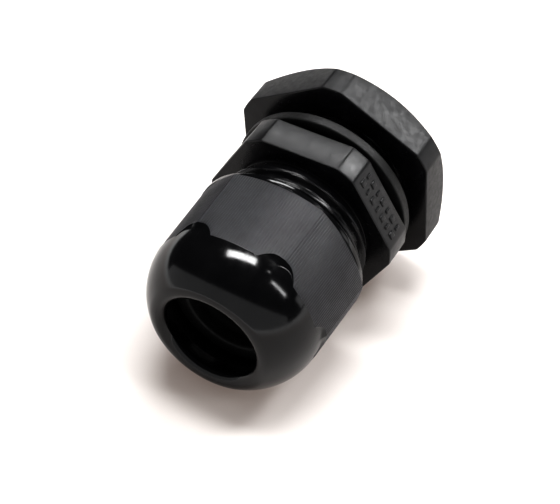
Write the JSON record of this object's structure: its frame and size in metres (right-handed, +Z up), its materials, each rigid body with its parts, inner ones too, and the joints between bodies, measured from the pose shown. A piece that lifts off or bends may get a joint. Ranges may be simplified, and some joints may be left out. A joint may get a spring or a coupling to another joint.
{
  "type": "cable gland",
  "caption": "Plastic cable gland with a domed sealing nut, rubber seal in bending clamp fingers, hexagon body, rubber washer and hexagon lock nut.",
  "frame": {"origin": "under the middle of the gland's length, on the surface that the lock nut's lowest corner touches", "axes": "+Y along the gland's axis from the domed sealing nut towards the mounting thread, +Z up with the gland lying on its side, +X across"},
  "size_m": [0.0312, 0.0438, 0.0335],
  "materials": {
    "black_nylon": "satin moulded",
    "black_nylon_dome": "polished dome with finely ribbed satin flats",
    "black_rubber": "matt"
  },
  "bodies": {
    "gland_body": {"gland_body": "black_nylon"},
    "sealing_insert": {"sealing_insert": "black_rubber"},
    "sealing_nut": {"sealing_nut": "black_nylon_dome"},
    "sealing_washer": {"sealing_washer": "black_rubber"},
    "lock_nut": {"lock_nut": "black_nylon"},
    "clamping_finger_01": {"clamping_finger_01": "black_nylon"},
    "clamping_finger_02": {"clamping_finger_02": "black_nylon"},
    "clamping_finger_03": {"clamping_finger_03": "black_nylon"},
    "clamping_finger_04": {"clamping_finger_04": "black_nylon"},
    "clamping_finger_05": {"clamping_finger_05": "black_nylon"},
    "clamping_finger_06": {"clamping_finger_06": "black_nylon"},
    "clamping_finger_07": {"clamping_finger_07": "black_nylon"},
    "clamping_finger_08": {"clamping_finger_08": "black_nylon"},
    "clamping_finger_09": {"clamping_finger_09": "black_nylon"},
    "clamping_finger_10": {"clamping_finger_10": "black_nylon"},
    "clamping_finger_11": {"clamping_finger_11": "black_nylon"},
    "clamping_finger_12": {"clamping_finger_12": "black_nylon"}
  },
  "joints": [
    {"name": "sealing_nut_turn", "type": "hinge", "parent": "gland_body", "child": "sealing_insert", "pos_m": [0, -0.00824, 0.01675], "axis": [0, 1, 0], "range_deg": [-270, 810], "deforming": ["sealing_insert"]},
    {"name": "sealing_nut_travel", "type": "slide", "parent": "sealing_insert", "child": "sealing_nut", "axis": [0, 1, 0], "range_m": [-0.00151, 0.00451]},
    {"name": "lock_nut_turn", "type": "hinge", "parent": "gland_body", "child": "sealing_washer", "pos_m": [0, 0.01576, 0.01675], "axis": [0, -1, 0], "range_deg": [-1080, 630]},
    {"name": "lock_nut_travel", "type": "slide", "parent": "sealing_washer", "child": "lock_nut", "axis": [0, -1, 0], "range_m": [-0.00424, 0.00248]},
    {"name": "finger_01_bend", "type": "hinge", "parent": "gland_body", "child": "clamping_finger_01", "pos_m": [0, -0.00674, 0.027], "axis": [1, 0, 0], "range_deg": [-6.1, 18.1]},
    {"name": "finger_02_bend", "type": "hinge", "parent": "gland_body", "child": "clamping_finger_02", "pos_m": [0.00513, -0.00674, 0.02563], "axis": [0.866, 0, -0.5], "range_deg": [-6.1, 18.1]},
    {"name": "finger_03_bend", "type": "hinge", "parent": "gland_body", "child": "clamping_finger_03", "pos_m": [0.00888, -0.00674, 0.02187], "axis": [0.5, 0, -0.866], "range_deg": [-6.1, 18.1]},
    {"name": "finger_04_bend", "type": "hinge", "parent": "gland_body", "child": "clamping_finger_04", "pos_m": [0.01025, -0.00674, 0.01675], "axis": [0, 0, -1], "range_deg": [-6.1, 18.1]},
    {"name": "finger_05_bend", "type": "hinge", "parent": "gland_body", "child": "clamping_finger_05", "pos_m": [0.00888, -0.00674, 0.01162], "axis": [-0.5, 0, -0.866], "range_deg": [-6.1, 18.1]},
    {"name": "finger_06_bend", "type": "hinge", "parent": "gland_body", "child": "clamping_finger_06", "pos_m": [0.00513, -0.00674, 0.00787], "axis": [-0.866, 0, -0.5], "range_deg": [-6.1, 18.1]},
    {"name": "finger_07_bend", "type": "hinge", "parent": "gland_body", "child": "clamping_finger_07", "pos_m": [0, -0.00674, 0.0065], "axis": [-1, 0, 0], "range_deg": [-6.1, 18.1]},
    {"name": "finger_08_bend", "type": "hinge", "parent": "gland_body", "child": "clamping_finger_08", "pos_m": [-0.00513, -0.00674, 0.00787], "axis": [-0.866, 0, 0.5], "range_deg": [-6.1, 18.1]},
    {"name": "finger_09_bend", "type": "hinge", "parent": "gland_body", "child": "clamping_finger_09", "pos_m": [-0.00888, -0.00674, 0.01162], "axis": [-0.5, 0, 0.866], "range_deg": [-6.1, 18.1]},
    {"name": "finger_10_bend", "type": "hinge", "parent": "gland_body", "child": "clamping_finger_10", "pos_m": [-0.01025, -0.00674, 0.01675], "axis": [0, 0, 1], "range_deg": [-6.1, 18.1]},
    {"name": "finger_11_bend", "type": "hinge", "parent": "gland_body", "child": "clamping_finger_11", "pos_m": [-0.00888, -0.00674, 0.02187], "axis": [0.5, 0, 0.866], "range_deg": [-6.1, 18.1]},
    {"name": "finger_12_bend", "type": "hinge", "parent": "gland_body", "child": "clamping_finger_12", "pos_m": [-0.00513, -0.00674, 0.02563], "axis": [0.866, 0, 0.5], "range_deg": [-6.1, 18.1]}
  ],
  "couplings": [
    {"joint": "sealing_nut_travel", "follows": "sealing_nut_turn", "m_per_rad": 0.00031831},
    {"joint": "lock_nut_travel", "follows": "lock_nut_turn", "m_per_rad": 0.00022457},
    {"joint": "finger_01_bend", "follows": "sealing_nut_turn", "ratio": 0.022222},
    {"joint": "finger_02_bend", "follows": "sealing_nut_turn", "ratio": 0.022222},
    {"joint": "finger_03_bend", "follows": "sealing_nut_turn", "ratio": 0.022222},
    {"joint": "finger_04_bend", "follows": "sealing_nut_turn", "ratio": 0.022222},
    {"joint": "finger_05_bend", "follows": "sealing_nut_turn", "ratio": 0.022222},
    {"joint": "finger_06_bend", "follows": "sealing_nut_turn", "ratio": 0.022222},
    {"joint": "finger_07_bend", "follows": "sealing_nut_turn", "ratio": 0.022222},
    {"joint": "finger_08_bend", "follows": "sealing_nut_turn", "ratio": 0.022222},
    {"joint": "finger_09_bend", "follows": "sealing_nut_turn", "ratio": 0.022222},
    {"joint": "finger_10_bend", "follows": "sealing_nut_turn", "ratio": 0.022222},
    {"joint": "finger_11_bend", "follows": "sealing_nut_turn", "ratio": 0.022222},
    {"joint": "finger_12_bend", "follows": "sealing_nut_turn", "ratio": 0.022222}
  ]
}
